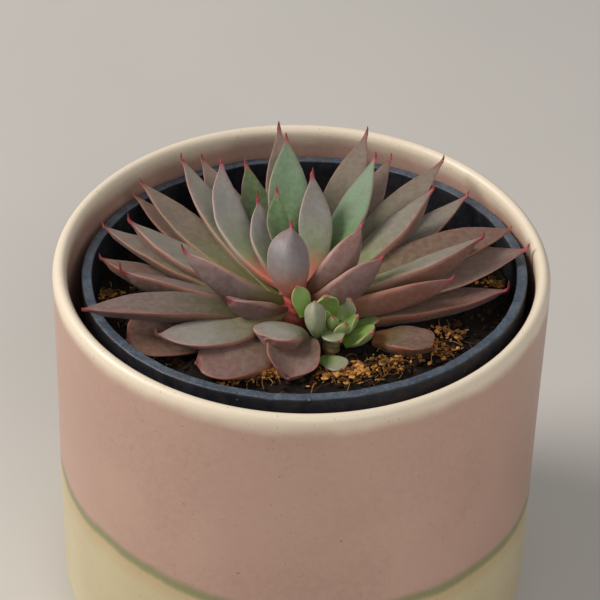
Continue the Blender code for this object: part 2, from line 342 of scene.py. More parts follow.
def capped_tube(rings, steps):
    """Faces of a closed tube whose vertices come ring by ring."""
    faces = []
    for ring in range(rings - 1):
        a = ring * steps
        for k in range(steps):
            n = (k + 1) % steps
            faces.append((a + k, a + n, a + steps + n, a + steps + k))
    faces.append(tuple(reversed(range(steps))))
    faces.append(tuple(range((rings - 1) * steps, rings * steps)))
    return faces


def arc(centre, radius_out, radius_up, start, stop, steps):
    """Points on an ellipse arc in the XZ plane; angles in degrees from +X."""
    points = []
    for i in range(steps + 1):
        angle = math.radians(start + (stop - start) * i / steps)
        points.append((centre[0] + radius_out * math.cos(angle),
                       centre[1] + radius_up * math.sin(angle)))
    return points


def line(a, b, steps):
    """Evenly spaced points from a to b, without b."""
    return [(a[0] + (b[0] - a[0]) * i / steps, a[1] + (b[1] - a[1]) * i / steps) for i in range(steps)]


def spin(name, profile, steps, wobble):
    """Closed turned body; the profile runs from the axis up the inside, over the lip and
    down the outside to the axis. wobble(angle, radius, z) gives a small move outward."""
    vertices = [(0.0, 0.0, profile[0][1] * MM)]
    for radius, z in profile[1:-1]:
        for k in range(steps):
            angle = 2 * math.pi * k / steps
            r = radius + wobble(angle, radius, z)
            vertices.append((r * math.cos(angle) * MM, r * math.sin(angle) * MM, z * MM))
    vertices.append((0.0, 0.0, profile[-1][1] * MM))
    rings = len(profile) - 2
    faces = []
    for k in range(steps):
        n = (k + 1) % steps
        faces.append((0, 1 + k, 1 + n))
        for ring in range(rings - 1):
            low = 1 + ring * steps
            faces.append((low + k, low + steps + k, low + steps + n, low + n))
        last = 1 + (rings - 1) * steps
        faces.append((last + k, len(vertices) - 1, last + n))
    return smooth_object(name, vertices, faces)


# %% [markdown]
# ## The cachepot
# The cachepot is a straight stoneware cylinder with a softly rounded lip. Its outside is
# glazed in a dusty pink down to a little below half height. There the pink glaze ends in
# a line that has run green, and below it the pot is cream. The lip is where glaze runs
# thin in the kiln, so it breaks to cream as well.

# %% Shape of the cachepot
pot_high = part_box("cachepot")[1]
POT_RADIUS = pot_high.x / MM
POT_HEIGHT = pot_high.z / MM
POT_WALL = 2.8
POT_FLOOR = 6.0
LIP_HEIGHT = 1.9
EDGE_RADIUS = 9.0
INSIDE_RADIUS = 6.0
inner = POT_RADIUS - POT_WALL
profile = line((0.0, POT_FLOOR), (inner - INSIDE_RADIUS, POT_FLOOR), 6)
profile += arc((inner - INSIDE_RADIUS, POT_FLOOR + INSIDE_RADIUS), INSIDE_RADIUS, INSIDE_RADIUS,
               -90, 0, 8)
profile += line((inner, POT_FLOOR + INSIDE_RADIUS + 1), (inner, POT_HEIGHT - LIP_HEIGHT - 0.5), 30)
profile += arc((POT_RADIUS - POT_WALL / 2, POT_HEIGHT - LIP_HEIGHT), POT_WALL / 2, LIP_HEIGHT,
               180, 0, 16)
profile += line((POT_RADIUS, POT_HEIGHT - LIP_HEIGHT - 1), (POT_RADIUS, EDGE_RADIUS + 0.5), 40)
profile += arc((POT_RADIUS - EDGE_RADIUS, EDGE_RADIUS), EDGE_RADIUS, EDGE_RADIUS, 0, -90, 14)
profile += line((POT_RADIUS - EDGE_RADIUS - 0.5, 0.0), (0.0, 0.0), 6)[1:] + [(0.0, 0.0)]


def thrown(angle, radius, z):
    """How far a hand-thrown wall strays from the true circle, in millimetres."""
    if radius < inner - 0.5 or z < EDGE_RADIUS:
        return 0.0
    return 0.10 * math.sin(2 * angle + 0.6) + 0.05 * math.sin(5 * angle + z * 0.11)


cachepot = spin("cachepot_glazed", profile, 180, thrown)
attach(cachepot, "root")
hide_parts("cachepot")
print("cachepot:", len(cachepot.data.polygons), "faces, radius", round(POT_RADIUS, 1),
      "height", round(POT_HEIGHT, 1))

# %% [markdown]
# ### The glaze
# The finish is worked out from the height on the pot. A mask for the lip mixes cream into
# the pink, a second mask follows the glaze line, which sits a little higher on the left
# than on the right and wanders slightly, and a narrow band around that line is green.
# Iron specks and soft clouds lie over everything. Gloss is low: it is a satin glaze, a
# little smoother where it is thick.

# %% Glaze finish
LINE_HEIGHT = 35.9                    # where the pink glaze ends, above the base
LINE_SLOPE = -0.06                    # rise of that line for each millimetre to the right
material, shader = new_material("dusty_pink_glaze", Coat_Weight=0.12, Coat_Roughness=0.25)
where = position_mm()
axes = put("ShaderNodeSeparateXYZ", {0: where}).outputs
wander = times(minus(noise_value(where, 0.05, 2.0), 0.5), 3.0)
ragged = times(minus(noise_value(where, 0.6, 3.0), 0.5), 0.7)
level = put("ShaderNodeMath", {0: axes["X"], 1: LINE_SLOPE, 2: LINE_HEIGHT},
            operation="MULTIPLY_ADD").outputs[0]
above = minus(axes["Z"], plus(level, plus(wander, ragged)))

broad = cloud_mask(where, 26.0, 0.22)
fine = cloud_mask(where, 1.3, 0.25, 0.35)
pink = blend(broad, rgb(198, 160, 143), rgb(188, 149, 133))
pink = blend(fine, pink, rgb(206, 172, 154))
cream = blend(broad, rgb(217, 205, 168), rgb(205, 190, 150))
cream = stain(rise(above, -7.0, -1.0), 0.55, cream, rgb(196, 164, 112))
colour = blend(rise(above, -0.5, 0.4), cream, pink)
line_core = times(rise(above, -1.9, -0.4), rise(above, 0.1, 2.4, 1.0, 0.0))
colour = stain(line_core, 0.80, colour, rgb(126, 136, 88))

lip_wander = times(minus(noise_value(where, 0.12, 2.0), 0.5), 2.4)
lip_level = plus(axes["Z"], lip_wander)
lip = rise(lip_level, POT_HEIGHT - 4.4, POT_HEIGHT - 1.0)
colour = blend(lip, colour, rgb(238, 222, 198))
thin_edge = rise(axes["Z"], POT_HEIGHT - 0.9, POT_HEIGHT - 0.1)
colour = stain(thin_edge, 0.5, colour, rgb(244, 232, 212))

iron = speck_mask(where, 0.9, 0.20, 0.42)
colour = stain(iron, 0.30, colour, rgb(120, 88, 74))
dark_iron = speck_mask(where, 3.6, 0.07, 0.5)
colour = stain(dark_iron, 0.6, colour, rgb(84, 58, 46))
join(colour, shader["Base Color"])
join(rise(fine, 0.0, 0.35, 0.36, 0.46), shader["Roughness"])
relief = grain_height(where, 1.1, 0.12, 0.6)
relief = minus(relief, times(iron, 0.03))
add_relief(shader, relief, 0.35, 0.35 * MM)
cachepot.data.materials.append(material)

# %% [markdown]
# ## Leaves
# A leaf of this plant is a thick boat: hollow on top, keeled below, narrow where it
# leaves the stem, widest past its middle, and ending in a fine stiff point that turns
# upward. Fifty of them differ only in size, direction and state, so one function lofts
# them all: it carries a closed section along a curved midrib. Sculpting each by hand
# would give the same picture and far more to mend. The leaf also writes down, on every
# vertex, how far along, how far across and on which face it lies, because its colours
# follow exactly those three.

# %% What one leaf needs
# end: where the blade ends, x, y and height over the cachepot's rim; start: height of its
# base, distance from the stem's axis and shift aside; bow: sag below and sway beside the
# straight line; turn: lean of its face away from the front and twist at the tip, in
# degrees; point: how far the fine point rises; blade: width, thickness, place of the
# widest spot, bluntness, depth of the hollow; skin and bronze: its finish.
Leaf = namedtuple("Leaf", "node end start bow turn point blade skin bronze")
ROSETTE_FOOT = (-1.2, -6.2)
OFFSET_FOOT = (6.0, -14.5)
AXIS_LEAN = 0.30                      # the rosette's axis leans back by this slope
FOOT_DEPTH = 4.0                      # how far under the rim the two feet are measured
ROUND = 32                            # points round a section
ALONG = 40                            # sections along a blade
POINT_STEPS = 9                       # sections along the fine point
POINT_RADIUS = 0.42
POINT_REACH = 0.8

LEAF_ROWS = {
    "heart_leaf": (
    ((-2.2, -1.6, 8.4), (-3.6, -.8, 0), (1.4, .8), (80, 0), 1.6, (8.2, 4.4, .5, 2.8, .06), "lilac", 0),
    ((-8.8, 10.8, 5.4), (-4.0, 2.4, 0), (1.4, .4), (24, 0), 2.6, (7.0, 3.2, .56, 1.9, .14), "lilac", 0),
    ((-5.2, 10.4, 8.0), (.0, 4.0, 0), (.4, 1.0), (22, 0), 1.2, (4.4, 2.2, .55, 1.7, .20), "fresh", 0),
    ((1.5, 14.4, 9.4), (-3.3, 2.4, -3.2), (1.2, -.6), (22, 0), 1.7, (6.6, 3.2, .56, 2.0, .14), "lilac", .15),
    ((10.9, -1.0, 8.5), (-4.4, 2.0, 0), (.8, -1.6), (66, 0), 1.4, (7.2, 3.8, .56, 2.2, .10), "plum", .2),
    ((14.9, -6.0, 5.0), (-5.0, 2.4, -1.0), (1.2, -.6), (62, 0), 1.4, (7.4, 3.8, .60, 2.4, .10), "plum", .1),
    ((-22.2, -5.6, 5.2), (-5.0, 2.4, 0), (1.8, .6), (60, 0), 1.8, (7.8, 3.6, .58, 1.8, .12), "mauve", 0),
    ((-13.6, -13.8, .3), (-6.0, 2.8, 0), (.4, 0), (50, -20), 1.0, (7.6, 3.8, .62, 3.0, .18), "plum", 0),
    ),
    "middle_leaf": (
    ((-3.8, 23.5, 11.8), (-4.5, 3.0, 0), (1.6, 0), (22, 0), 1.2, (8.2, 3.4, .60, 1.8, .20), "teal", 0),
    ((-11.7, 24.7, 4.4), (-5.4, 3.0, 0), (1.8, 0), (22, 0), 1.2, (7.4, 3.0, .60, 1.9, .22), "fresh", 0),
    ((-16.4, 20.6, 7.4), (-3.7, 3.0, 0), (2.8, 2.4), (22, 0), 1.6, (7.2, 3.4, .60, 1.9, .16), "lilac", 0),
    ((-24.4, 26.4, 3.8), (-6.2, 3.2, 0), (1.6, .5), (22, 0), 1.8, (7.4, 3.4, .62, 1.8, .20), "sage", 0),
    ((-33.5, 8.5, 1.5), (-5.6, 3.4, 0), (2.0, 0), (16, 0), 1.8, (7.8, 4.4, .62, 1.8, .18), "sage", .2),
    # This leaf takes the shade skin, painted shade for a leaf in the shadow of others.
    ((-34.2, -2.8, -2.0), (-6.6, 3.4, 0), (.8, 0), (30, 0), 2.2, (8.0, 4.6, .62, 2.0, .16), "shade", .1),
    ((-26.2, -21.0, -3.0), (-5.8, 3.4, 0), (.2, 3.0), (4, 0), 1.8, (8.2, 4.4, .66, 2.6, .08), "lobe", .1),
    ((28.3, -6.6, 1.0), (-6.6, 3.2, 0), (.8, -.6), (52, 0), 1.3, (8.0, 3.6, .60, 2.6, .10), "rosy", .3),
    ((34.2, 3.0, 4.0), (-4.6, 3.4, 0), (1.8, 0), (24, 0), 1.6, (7.8, 5.2, .62, 1.8, .18), "sage", .35),
    ((25.0, 16.0, 5.8), (-5.4, 3.2, 0), (1.8, 0), (22, 0), 1.6, (7.8, 5.0, .62, 1.8, .18), "sage", .4),
    ((13.6, 21.0, 9.3), (-4.0, 3.2, 0), (2.0, -.2), (22, 0), 1.6, (7.2, 3.6, .60, 1.8, .20), "teal", 0),
    ),
    "outer_leaf": (
    ((-5.4, 32.8, 8.0), (-8.4, 3.4, 0), (1.8, 0), (10, 0), 1.5, (7.3, 3.1, .60, 1.8, .20), "olive", .5),
    ((-20.7, 32.4, .2), (-7.6, 3.4, 0), (1.2, 0), (10, 0), 1.2, (7.7, 3.3, .62, 1.9, .20), "olive", .6),
    ((-32.2, 21.6, 1.4), (-7.0, 3.5, 0), (1.2, 0), (12, 0), 1.2, (7.9, 3.5, .62, 1.9, .20), "olive", .5),
    ((-33.5, 22.6, -2.6), (-8.6, 3.5, 0), (1.2, 0), (12, 0), 1.2, (7.5, 3.1, .62, 1.9, .18), "bronze", .6),
    ((-38.6, 9.6, -.8), (-7.8, 3.5, 0), (.9, 0), (12, 0), 1.2, (7.9, 3.5, .62, 2.0, .18), "olive", .3),
    ((-38.8, 3.6, -4.0), (-8.9, 3.6, 0), (1.1, 0), (18, 0), 1.2, (10.4, 4.2, .62, 2.0, .18), "bronze", .9),
    # This leaf takes the shade skin, painted shade for a leaf in the shadow of others.
    ((-40.5, -18.0, .2), (-7.6, 3.6, 0), (-1.4, 0), (6, 0), .5, (8.1, 4.4, .62, 1.9, .14), "shade", .1),
    # This leaf takes the darker bronze skin partly as painted shade, for it lies in the shadow of others.
    ((-32.6, -18.4, -6.4), (-8.8, 3.6, 0), (.2, 0), (-12, 0), .15, (11.4, 4.6, .7, 4.4, .16), "bronze", .5),
    ((-19.2, -25.2, -6.0), (-8.2, 3.6, 0), (0, 4.2), (-6, 0), .15, (10.6, 6.0, .7, 4.4, .10), "umber", .3),
    ((-1.8, -27.4, -7.2), (-8.9, 3.6, 0), (-.8, 0), (-16, -14), .15, (10.2, 5.0, .62, 4.2, .5), "umber", .5),
    ((12.2, 33.0, 7.0), (-6.2, 3.4, 0), (1.2, 0), (10, 0), 1.8, (7.9, 3.3, .62, 1.8, .20), "olive", .3),
    ((17.3, 34.0, .6), (-8.8, 3.4, 0), (1.2, 0), (10, 0), 1.2, (7.3, 3.1, .62, 1.9, .20), "olive", .7),
    ((27.5, 30.0, 3.0), (-7.0, 3.4, 0), (1.2, 0), (12, 0), 1.5, (8.5, 3.5, .62, 1.8, .20), "olive", .3),
    ((32.3, 22.0, .2), (-8.2, 3.4, 0), (1.2, 0), (12, 0), 1.2, (8.1, 3.5, .62, 1.9, .20), "sage", .3),
    ((40.1, 9.0, 1.8), (-6.5, 3.6, 0), (-1.0, 0), (-6, 0), .9, (8.8, 3.3, .62, 2.4, .18), "bronze", .5),
    ((43.4, 5.6, -.4), (-7.4, 3.6, 0), (.4, 0), (-10, 0), 1.5, (9.8, 3.5, .62, 2.0, .18), "mauve", .5),
    ((39.2, -2.2, -4.6), (-8.8, 3.6, 0), (.8, 0), (8, 0), 2.4, (8.1, 4.2, .62, 2.2, .18), "rosy", .6),
    ((24.9, -17.8, -6.6), (-8.0, 16.5, 0), (0, .4), (6, 0), .15, (8.4, 4.4, .58, 4.2, .24), "bronze", .4),
    ),
    "offset_leaf": (
    ((-.8, -9.7, .6), (-4.6, 5.4, 1.3), (.3, -.3), (-30, 0), .3, (3.5, 2.0, .6, 2.6, .12), "bud", 0),
    ((2.5, -14.6, .9), (-5.6, 2.6, 1.0), (.9, .5), (82, 0), .2, (3.9, 2.6, .62, 3.0, .12), "grey", 0),
    ((4.7, -12.3, .4), (-5.0, 2.2, -.8), (.8, 0), (-40, 0), .3, (4.6, 2.0, .62, 2.8, .14), "bud", 0),
    ((9.3, -11.2, -.8), (-5.0, 2.6, .8), (.8, .3), (-52, 0), .2, (4.8, 1.9, .66, 3.4, .14), "grey", 0),
    ((10.7, -13.0, -3.4), (-6.6, 1.2, .1), (.3, .5), (6, 0), .4, (4.6, 1.8, .62, 2.8, .14), "bud", 0),
    ((8.4, -17.1, -2.0), (-5.6, .6, -.8), (.3, .2), (14, 0), .3, (3.4, 1.6, .62, 2.4, .14), "bud", 0),
    ((3.8, -15.1, -.6), (-4.8, 1.1, .9), (.3, .2), (-35, 0), .3, (3.0, 1.4, .6, 2.4, .14), "bud", 0),
    ((6.1, -16.4, -1.2), (-4.6, .7, 0), (.2, 0), (45, 0), .3, (2.2, 1.3, .6, 2.4, .14), "bud", 0),
    ((7.7, -19.7, -4.0), (-5.6, -.3, -1.2), (-.3, -.3), (-6, 0), .2, (4.2, 2.2, .62, 2.8, .14), "grey", 0),
    ((13.6, -16.5, -4.4), (-7.4, 2.3, -.5), (.3, .6), (4, 0), .3, (5.4, 2.2, .66, 3.4, .12), "bud", 0),
    ((8.4, -24.1, -7.2), (-7.8, 4.2, -3.2), (0, .3), (-4, 0), .2, (4.2, 1.9, .64, 3.4, .12), "grey", 0),
    ((14.8, -10.7, -6.0), (-7.8, 5.3, 2.2), (.1, .2), (0, 0), .2, (3.0, 1.5, .64, 3.0, .12), "bud", .2),
    ((-6.3, -21.3, -2.8), (-5.8, 5.0, -2.2), (-.2, -.6), (12, 0), .1, (9.0, 5.6, .66, 3.8, .08), "lobe", .2),
    ),
}
LEAVES = [Leaf(f"{family}_{number:02d}", *row)
          for family, rows in LEAF_ROWS.items() for number, row in enumerate(rows, 1)]
print("leaves to make:", len(LEAVES))

# %% [markdown]
# ### Lofting a leaf
# The midrib is a curve with one control point, which is enough for a leaf that bends one
# way. At each section a frame says which way is across and which way is up; the frame's
# upright is tipped back by the rosette's lean, so that leaves at the sides show their
# keels to the front, as they do on a rosette that leans away. The section itself is an
# oval with a flatter top; a keel term draws its lower half to a ridge, and a hollow term
# lifts both margins.

# %% The blade's outline, thickness and section
BASE_WIDTH = 0.50                     # width where the leaf leaves the stem, as a share


def smooth(value, low, high):
    share = min(1.0, max(0.0, (value - low) / (high - low)))
    return share * share * (3 - 2 * share)


def blade_width(t, widest, blunt):
    """Half width at t along the blade, as a share of the largest."""
    if t < widest:
        return BASE_WIDTH + (1 - BASE_WIDTH) * math.sin(t / widest * math.pi / 2) ** 1.35
    past = (t - widest) / (1 - widest)
    return max(0.0, 1 - past ** blunt) ** (1.08 - 0.55 * smooth(blunt, 2.0, 3.6))


def blade_depth(t):
    """Thickness at t, as a share of the largest."""
    swelling = 0.55 + 0.45 * math.sin(min(1.0, t / 0.5) * math.pi / 2)
    return swelling * max(0.0, 1 - max(0.0, t - 0.5) ** 2 * 3.4) ** 0.8


def section(half, depth, hollow, keel):
    """Closed section as (across, up, sideways share, below share) for each point."""
    points = []
    for k in range(ROUND):
        angle = 2 * math.pi * k / ROUND
        cos, sin = math.cos(angle), math.sin(angle)
        if sin >= 0:
            up = 0.22 * depth * sin
        else:
            up = -0.78 * depth * ((1 - keel) * -sin + keel * (1 - abs(cos) ** 1.25))
        up += hollow * half * abs(cos) ** 1.7
        points.append((half * cos, up, cos, 0.5 - 0.5 * min(1.0, max(-1.0, sin * 5))))
    return points


def bezier(a, b, c, t):
    back = 1 - t
    return a * back * back + b * 2 * back * t + c * t * t


SIDE_SHIFT = Vector((31.7, 12.3, 5.9))


def drift(place):
    """Soft noise in three directions, the same on every run."""
    return Vector((noise.noise(place), noise.noise(place + SIDE_SHIFT),
                   noise.noise(place - SIDE_SHIFT)))


def loft_leaf(leaf):
    foot = OFFSET_FOOT if leaf.node.startswith("offset") else ROSETTE_FOOT
    width, thick, widest, blunt, hollow = leaf.blade
    end = Vector(leaf.end)
    low, out, aside = leaf.start
    foot = Vector((foot[0], foot[1] + AXIS_LEAN * (low + FOOT_DEPTH), 0.0))
    outward = Vector((end.x - foot.x, end.y - foot.y, 0.0)).normalized()
    start = Vector((foot.x, foot.y, low)) + outward * out
    across = Vector((-outward.y, outward.x, 0.0))
    start += across * aside
    lean, twist = leaf.turn
    upright = Vector((0.0, math.sin(math.radians(lean)), math.cos(math.radians(lean))))
    straight = (end - start).normalized()
    above = straight.cross(upright.cross(straight)).normalized()
    control = (start + end) / 2 + (across * leaf.bow[1] - above * leaf.bow[0]) * 2
    seed = Vector((hash_of(leaf.node) * 40.0, 0.0, 0.0))
    tip_run = (end - control).normalized() * leaf.point * 0.45
    tip_end = end + outward * POINT_REACH * min(1.0, leaf.point) + Vector((0.0, 0.0, leaf.point))
    vertices, facts = [], []
    for step in range(ALONG + POINT_STEPS):
        if step < ALONG:
            t = step / (ALONG - 1)
            t = t + 0.10 * math.sin(2 * math.pi * t) / (2 * math.pi)
            centre = bezier(start, control, end, t)
            way = ((control - start) * (1 - t) + (end - control) * t).normalized()
            wide = blade_width(t, widest, blunt)
            half = math.hypot(width / 2 * wide, POINT_RADIUS)
            deep = math.hypot(thick * blade_depth(t), POINT_RADIUS * 1.6)
            deep = min(deep, half * 1.5)
            along = t
        else:
            share = (step - ALONG + 1) / POINT_STEPS
            centre = bezier(end, end + tip_run, tip_end, share)
            way = (tip_run * (1 - share) + (tip_end - end - tip_run) * share).normalized()
            half = POINT_RADIUS * (1 - share) ** 0.75 + 0.05
            deep = half * 1.7
            along = 1 + 0.12 * share
        side = upright.cross(way).normalized()
        up = way.cross(side).normalized()
        turn = math.radians(twist * min(1.0, along))
        side, up = (side * math.cos(turn) + up * math.sin(turn),
                    up * math.cos(turn) - side * math.sin(turn))
        keel = 0.25 + 0.55 * smooth(along, 0.3, 0.95)
        dish = hollow * smooth(along, 0.05, 0.5) * (1 - smooth(along, 0.97, 1.0))
        for x, y, sideways, below in section(half, deep, dish, keel):
            point = centre + side * x + up * y
            slow = drift(point * 0.16 + seed) * 0.22
            quick = drift(point * 0.55 + seed) * 0.06
            point = point + (slow + quick) * min(1.0, half)
            vertices.append((point.x * MM, point.y * MM, (point.z + POT_HEIGHT) * MM))
            facts.append((along, sideways, below))
    return vertices, facts


def hash_of(name):
    """A steady number from 0 to 1 for a piece's name."""
    total = 0
    for letter in name:
        total = (total * 31 + ord(letter)) % 997
    return total / 997


def make_leaf(leaf, material):
    vertices, facts = loft_leaf(leaf)
    mesh = bpy.data.meshes.new(leaf.node + "_blade")
    mesh.from_pydata(vertices, [], capped_tube(ALONG + POINT_STEPS, ROUND))
    bm = bmesh.new()
    bm.from_mesh(mesh)
    bmesh.ops.recalc_face_normals(bm, faces=bm.faces)
    bm.to_mesh(mesh)
    bm.free()
    mesh.shade_smooth()
    facts = [fact + (leaf.bronze, hash_of(leaf.node)) for fact in facts]
    for column, title in enumerate(("along", "across", "below", "bronze", "own")):
        values = mesh.attributes.new("leaf_" + title, "FLOAT", "POINT")
        values.data.foreach_set("value", [fact[column] for fact in facts])
    mesh.materials.append(material)
    thing = add_object(leaf.node + "_blade", mesh)
    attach(thing, "root")
    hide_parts(leaf.node)
    return thing


# %% [markdown]
# ### The leaves' skin
# The colour of a leaf is laid down in the order in which the plant makes it: green flesh
# from the middle outward, mauve or bronze where sun reached it, coral or dark olive where
# it leaves the stem, the dark olive partly painted shade where the bases crowd, a pale
# translucent margin made paler along both edges as painted highlight, and a crimson point.
# A thin waxy bloom lies over all of it and is rubbed off in patches. All skins are one
# network with different colours, so one function writes them.

# %% One function for all leaf skins
def attribute(name):
    made = put("ShaderNodeAttribute", attribute_name=name, attribute_type="GEOMETRY")
    return made.outputs["Fac"]


CORAL = (216, 98, 86)
RUST = (136, 82, 40)
# MOSS_AND_SHADE is the bases' own olive, darkened as painted shade where the leaf bases crowd.
MOSS_AND_SHADE = (96, 90, 38)
PALE_PINK = (208, 172, 162)
CRIMSON = (168, 58, 74)
FLUSH = (134, 86, 88)


def leaf_skin(name, top, middle, below, root, margin_and_glint, tip, edge_amount=0.55, flush=FLUSH):
    top, middle, below, root, margin_and_glint, tip, flush = (
        rgb(*shade) for shade in (top, middle, below, root, margin_and_glint, tip, flush))
    material, shader = new_material(
        name, Subsurface_Weight=0.10, Subsurface_Scale=0.0012, Sheen_Weight=0.12,
        Sheen_Roughness=0.45, Specular_IOR_Level=0.42)
    shader["Subsurface Radius"].default_value = (0.8, 0.45, 0.3)
    where = position_mm()
    along = attribute("leaf_along")
    across = maths("ABSOLUTE", attribute("leaf_across"))
    under = attribute("leaf_below")
    bronzed = attribute("leaf_bronze")
    own = attribute("leaf_own")
    blotch = cloud_mask(where, 4.0, 0.2)
    rubbed = cloud_mask(where, 1.1, 0.22)

    upper = blend(rise(along, 0.30, 0.78), middle, top)
    lower = blend(rise(along, 0.15, 0.60), blend(0.5, middle, root), below)
    colour = blend(under, upper, lower)
    sun = times(bronzed, rise(plus(along, times(blotch, 0.35)), 0.30, 1.05))
    bronze = blend(under, rgb(118, 88, 76), rgb(152, 96, 62))
    colour = stain(sun, 0.8, colour, bronze)
    colour = stain(blotch, 0.22, colour, rgb(118, 84, 78))
    # The root colour covers the base: coral on lilac leaves, elsewhere mostly dark olive, whose darkness is
    # painted shade.
    root_tint_and_shade = rise(along, 0.06, 0.40, 1.0, 0.0)
    colour = stain(root_tint_and_shade, 0.85, colour, root)

    flushed = rise(plus(along, times(across, 0.22)), 0.76, 1.18, 0.0, 0.42)
    colour = blend(flushed, colour, flush)

    lengthwise = {0: times(along, 3.0), 1: times(across, 7.0), 2: times(own, 40.0)}
    streak = noise_value(put("ShaderNodeCombineXYZ", lengthwise).outputs[0], 1.6, 3.0, 0.6)
    colour = blend(rise(streak, 0.35, 0.75, 0.0, 0.34), colour, blend(under, middle, below))
    bloom = times(rise(rubbed, 0.0, 1.0, 0.04, 0.12), rise(along, 0.1, 0.5))
    colour = blend(bloom, colour, rgb(196, 192, 196))

    # Margin: the leaf's own pale translucent edge, made paler still as a painted highlight along both edges.
    pale_edge_and_glint = times(rise(across, 0.90, 0.99), rise(along, 0.15, 0.5))
    colour = stain(pale_edge_and_glint, edge_amount, colour, margin_and_glint)
    tip_share = rise(plus(along, times(across, 0.02)), 0.955, 1.03)
    colour = stain(tip_share, 0.9, colour, tip)
    dark_end = rise(along, 1.06, 1.12)
    colour = stain(dark_end, 0.6, colour, rgb(96, 52, 48))

    fleck = speck_mask(where, 1.3, 0.13, 0.28)
    colour = stain(fleck, 0.35, colour, rgb(92, 66, 58))
    scar = speck_mask(where, 5.5, 0.09, 0.22)
    colour = stain(scar, 0.65, colour, rgb(74, 46, 40))
    dust = speck_mask(where, 0.62, 0.16, 0.20)
    colour = stain(dust, 0.18, colour, rgb(222, 212, 204))
    join(colour, shader["Base Color"])
    join(rise(rubbed, 0.0, 1.0, 0.36, 0.54), shader["Roughness"])
    relief = grain_height(where, 4.2, 0.5, 0.45)
    relief = plus(relief, times(streak, 0.25))
    relief = minus(relief, times(scar, 0.3))
    add_relief(shader, relief, 0.4, 0.3 * MM)
    return material


# For each skin: its material, the colours of its top, middle, underside, root, margin and
# point, and for some how strong the margin is and what flushes the tip.
SKIN_COLOURS = {
    "lilac": ("leaf_lilac", (140, 140, 138), (128, 142, 100), (134, 128, 128),
        CORAL, PALE_PINK, CRIMSON),
    "sage": ("leaf_sage", (140, 140, 130), (120, 128, 74), (122, 84, 62),
        MOSS_AND_SHADE, (196, 142, 126), CRIMSON),
    "fresh": ("leaf_fresh_green", (72, 112, 50), (62, 98, 28), (124, 118, 88),
        (92, 108, 34), (172, 138, 124), CRIMSON, 0.5, (120, 96, 76)),
    "teal": ("leaf_teal_green", (104, 140, 104), (80, 118, 42), (134, 120, 108),
        (100, 116, 40), (182, 148, 134), CRIMSON, 0.5, (128, 122, 104)),
    "mauve": ("leaf_mauve", (130, 106, 96), (120, 112, 74), (112, 88, 82),
        MOSS_AND_SHADE, (196, 140, 122), CRIMSON),
    "plum": ("leaf_plum", (126, 96, 88), (104, 82, 62), (114, 80, 70),
        (104, 58, 32), (198, 150, 138), CRIMSON),
    "rosy": ("leaf_rosy", (134, 94, 80), (124, 98, 58), (136, 82, 62),
        RUST, (186, 120, 102), CRIMSON),
    # The shade skin is painted shade: darker leaf colours for leaves that lie in the shadow of others.
    "shade": ("leaf_in_painted_shade", (112, 90, 80), (84, 78, 44), (98, 70, 50),
        MOSS_AND_SHADE, (170, 116, 98), CRIMSON),
    "umber": ("leaf_umber", (116, 86, 72), (102, 76, 44), (142, 84, 62),
        RUST, (180, 112, 90), (156, 84, 72), 0.8),
    "bronze": ("leaf_bronze", (108, 74, 50), (96, 80, 38), (140, 80, 42),
        RUST, (164, 98, 68), (146, 66, 54), 0.55, (120, 66, 46)),
    "olive": ("leaf_olive", (126, 118, 100), (108, 114, 64), (118, 84, 58),
        MOSS_AND_SHADE, (176, 124, 98), (146, 70, 62)),
    "lobe": ("leaf_pale_lobe", (144, 144, 138), (118, 116, 78), (150, 98, 80),
        (116, 96, 58), (204, 150, 132), (166, 116, 100)),
    "bud": ("leaf_bud_green", (120, 156, 54), (108, 150, 32), (134, 158, 72),
        (92, 120, 30), (204, 204, 150), (196, 104, 100), 0.8, (150, 160, 92)),
    "grey": ("leaf_bud_grey", (140, 148, 116), (116, 140, 62), (144, 150, 118),
        (92, 120, 30), (206, 196, 170), (196, 112, 106), 0.7, (156, 148, 124)),
}
SKINS = {skin: leaf_skin(*values) for skin, values in SKIN_COLOURS.items()}

# %% Making the leaves
blades = [make_leaf(leaf, SKINS[leaf.skin]) for leaf in LEAVES]
print("leaves made:", len(blades), "with", sum(len(b.data.polygons) for b in blades), "faces")

# %% [markdown]
# ## The nursery pot
# Plants are sold in a thin blow-moulded pot, and this one was simply set inside the
# cachepot, a little crooked. Only its collar shows: a flat rim two millimetres wide with
# the small nicks and scuffs of handling, and the band below it. It is turned like the
# cachepot, in its own frame, and then tipped into place. A wavy term bends the rim very
# slightly, because thin plastic full of damp soil never stays round.

# %% Shape of the nursery pot
NURSERY_RADIUS = 43.3
NURSERY_FOOT = 31.5
NURSERY_HEIGHT = 72.0
COLLAR_WIDTH = 2.1
COLLAR_HEIGHT = 9.0
NURSERY_WALL = 1.1
INNER_EDGE = 0.35                     # radius of the rim's inner edge
OUTER_EDGE = 0.4                      # and of its outer edge
RIM_NICKS = 46
NURSERY_PLACE = Vector((0.4, 1.4, 80.7)) * MM        # centre of its rim
TILT_BACK = math.radians(-3.9)        # the front of the rim stands up by this
TILT_LEFT = math.radians(-1.4)        # and its right side by this


def tipped(thing):
    """Moves a mesh made round the rim's centre to where the nursery pot stands."""
    turn = Matrix.Rotation(TILT_LEFT, 4, "Y") @ Matrix.Rotation(TILT_BACK, 4, "X")
    thing.data.transform(Matrix.Translation(NURSERY_PLACE) @ turn)
    return thing


